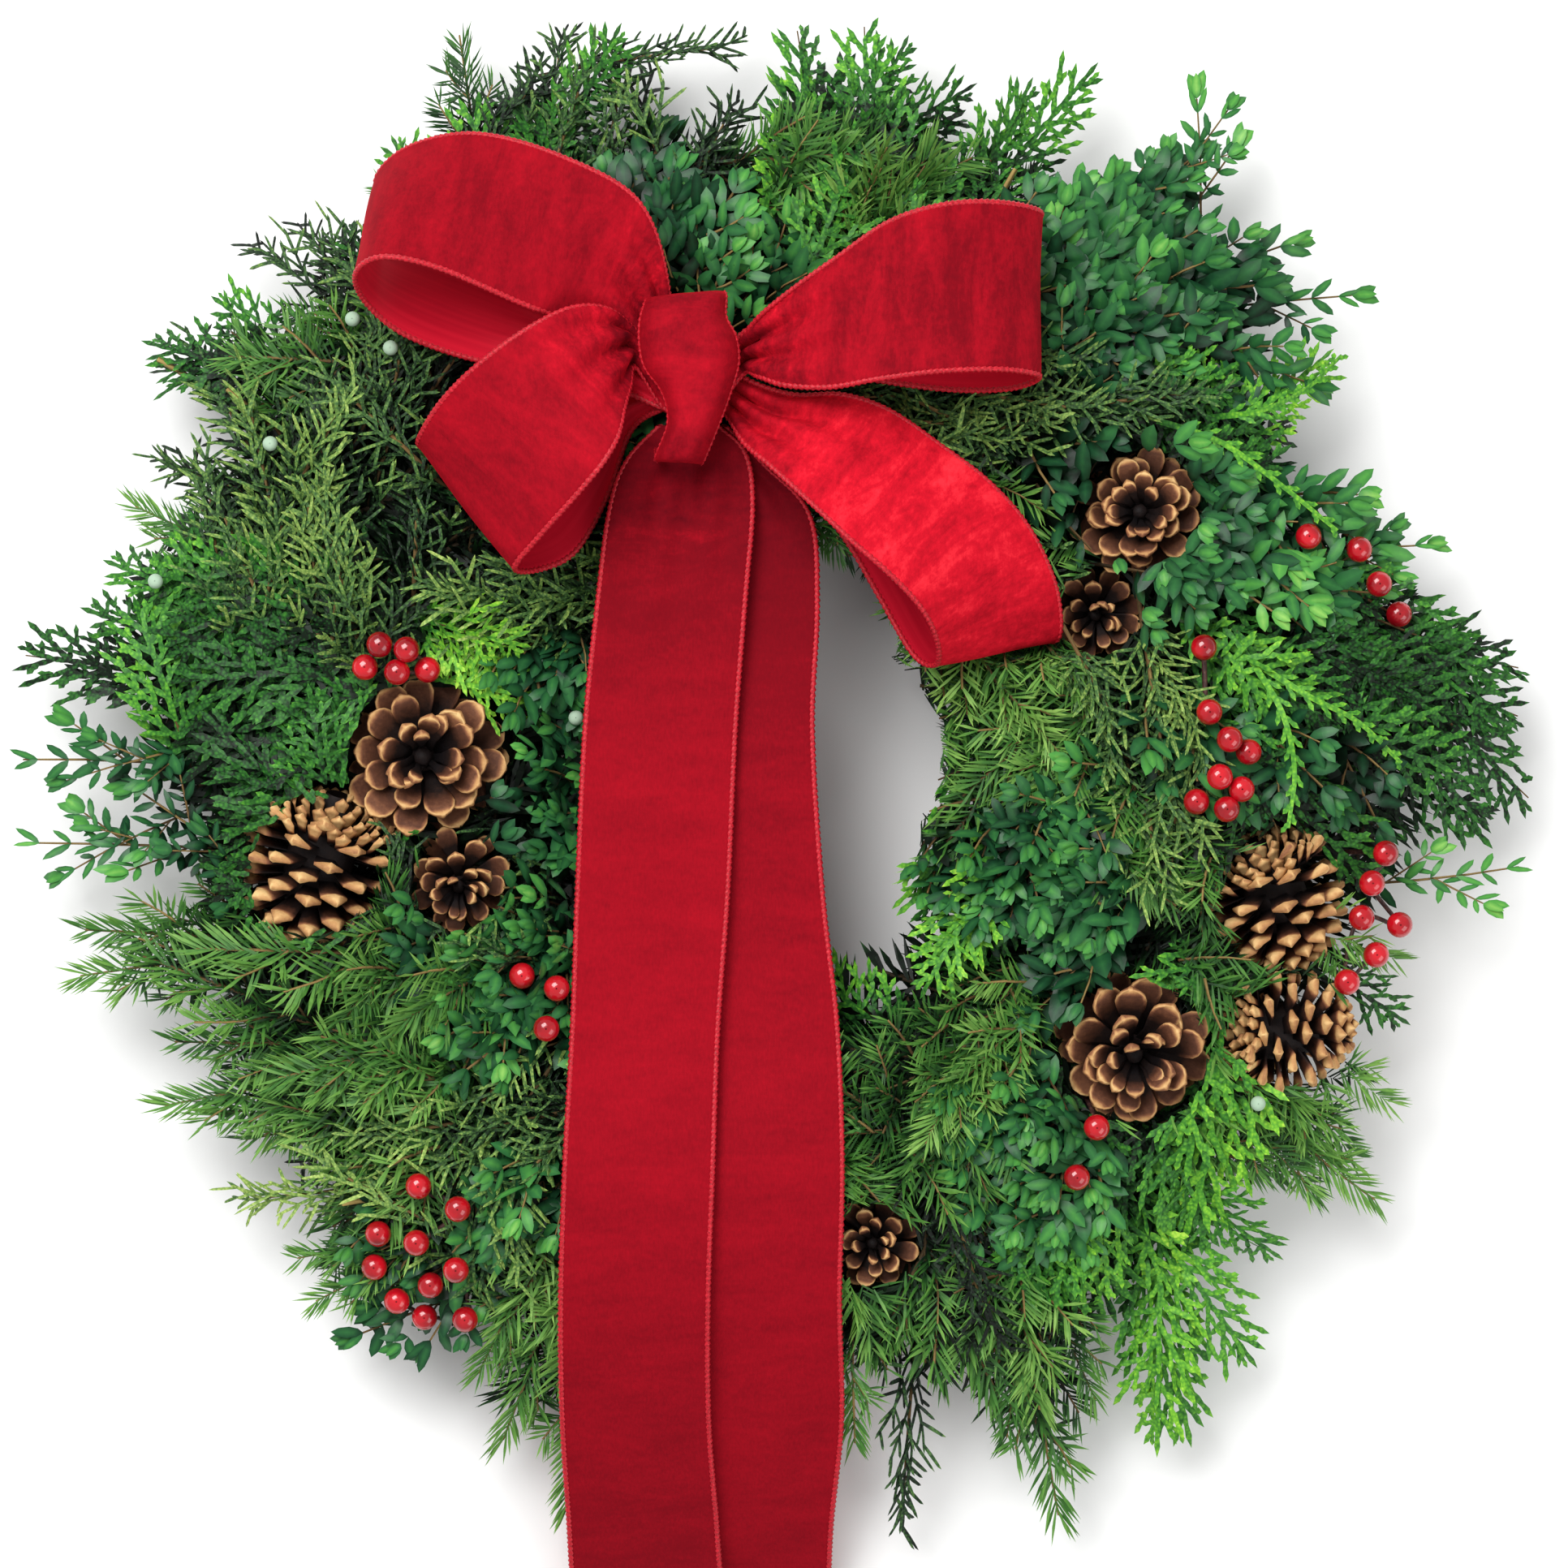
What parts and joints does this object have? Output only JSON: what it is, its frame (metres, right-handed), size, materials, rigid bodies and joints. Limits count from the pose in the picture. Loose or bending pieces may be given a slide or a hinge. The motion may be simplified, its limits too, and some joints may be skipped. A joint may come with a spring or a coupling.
{
  "type": "evergreen wreath with bow",
  "caption": "Round wreath of mixed evergreen bunches clamped on a wire ring, with pine cones, red berries and a looped velvet ribbon bow whose two tails hang past the lower edge.",
  "frame": {"origin": "middle of the wreath's underside, on the plane that the clamps' feet lie on", "axes": "+Z out of the wreath's front, +Y up and +X right when it hangs and is seen from the front"},
  "size_m": [0.6296, 0.69, 0.1443],
  "materials": {
    "galvanised_steel": "dull zinc",
    "velvet_ribbon": "velvet face, satin lining",
    "cone_scales": "dry and matte",
    "red_berries": "glossy skin",
    "fir_needles": "waxy",
    "juniper_needles": "matte",
    "boxwood_leaves": "glossy",
    "bright_cedar": "matte",
    "dark_cedar": "matte"
  },
  "bodies": {
    "root": {"berry_sprig_bottom": "red_berries", "berry_sprig_left": "red_berries", "berry_sprig_lower_left": "red_berries", "berry_sprig_lower_right": "red_berries", "berry_sprig_right": "red_berries", "berry_sprig_upper_left": "red_berries", "berry_sprig_upper_right": "red_berries", "bow_knot": "velvet_ribbon", "bow_loop_lower_left": "velvet_ribbon", "bow_loop_lower_right": "velvet_ribbon", "bow_loop_upper_left": "velvet_ribbon", "bow_loop_upper_right": "velvet_ribbon", "bow_tail_front": "velvet_ribbon", "bow_tail_rear": "velvet_ribbon", "bow_tie_wire": "galvanised_steel", "boxwood_bunch_inner_04": "boxwood_leaves", "boxwood_bunch_inner_05": "boxwood_leaves", "boxwood_bunch_inner_06": "boxwood_leaves", "boxwood_bunch_inner_09": "boxwood_leaves", "boxwood_bunch_inner_10": "boxwood_leaves", "boxwood_bunch_inner_14": "boxwood_leaves", "boxwood_bunch_inner_15": "boxwood_leaves", "boxwood_bunch_outer_02": "boxwood_leaves", "boxwood_bunch_outer_03": "boxwood_leaves", "boxwood_bunch_outer_04": "boxwood_leaves", "boxwood_bunch_outer_09": "boxwood_leaves", "cedar_bunch_inner_13": "bright_cedar", "cedar_bunch_outer_01": "dark_cedar", "cedar_bunch_outer_05": "bright_cedar", "cedar_bunch_outer_07": "dark_cedar", "cedar_bunch_outer_08": "dark_cedar", "cedar_bunch_outer_14": "bright_cedar", "cone_wire_bottom": "galvanised_steel", "cone_wire_left": "galvanised_steel", "cone_wire_lower_right": "galvanised_steel", "cone_wire_upper_right": "galvanised_steel", "fir_bunch_inner_01": "fir_needles", "fir_bunch_inner_11": "fir_needles", "fir_bunch_inner_12": "fir_needles", "fir_bunch_outer_10": "fir_needles", "fir_bunch_outer_12": "fir_needles", "fir_bunch_outer_13": "fir_needles", "fir_bunch_outer_15": "fir_needles", "juniper_bunch_inner_02": "juniper_needles", "juniper_bunch_inner_03": "juniper_needles", "juniper_bunch_inner_07": "juniper_needles", "juniper_bunch_inner_08": "juniper_needles", "juniper_bunch_outer_06": "juniper_needles", "juniper_bunch_outer_11": "juniper_needles", "pine_cone_1": "cone_scales", "pine_cone_2": "cone_scales", "pine_cone_3": "cone_scales", "pine_cone_4": "cone_scales", "pine_cone_5": "cone_scales", "pine_cone_6": "cone_scales", "pine_cone_7": "cone_scales", "pine_cone_8": "cone_scales", "pine_cone_9": "cone_scales", "ring_frame": "galvanised_steel"}
  },
  "joints": []
}
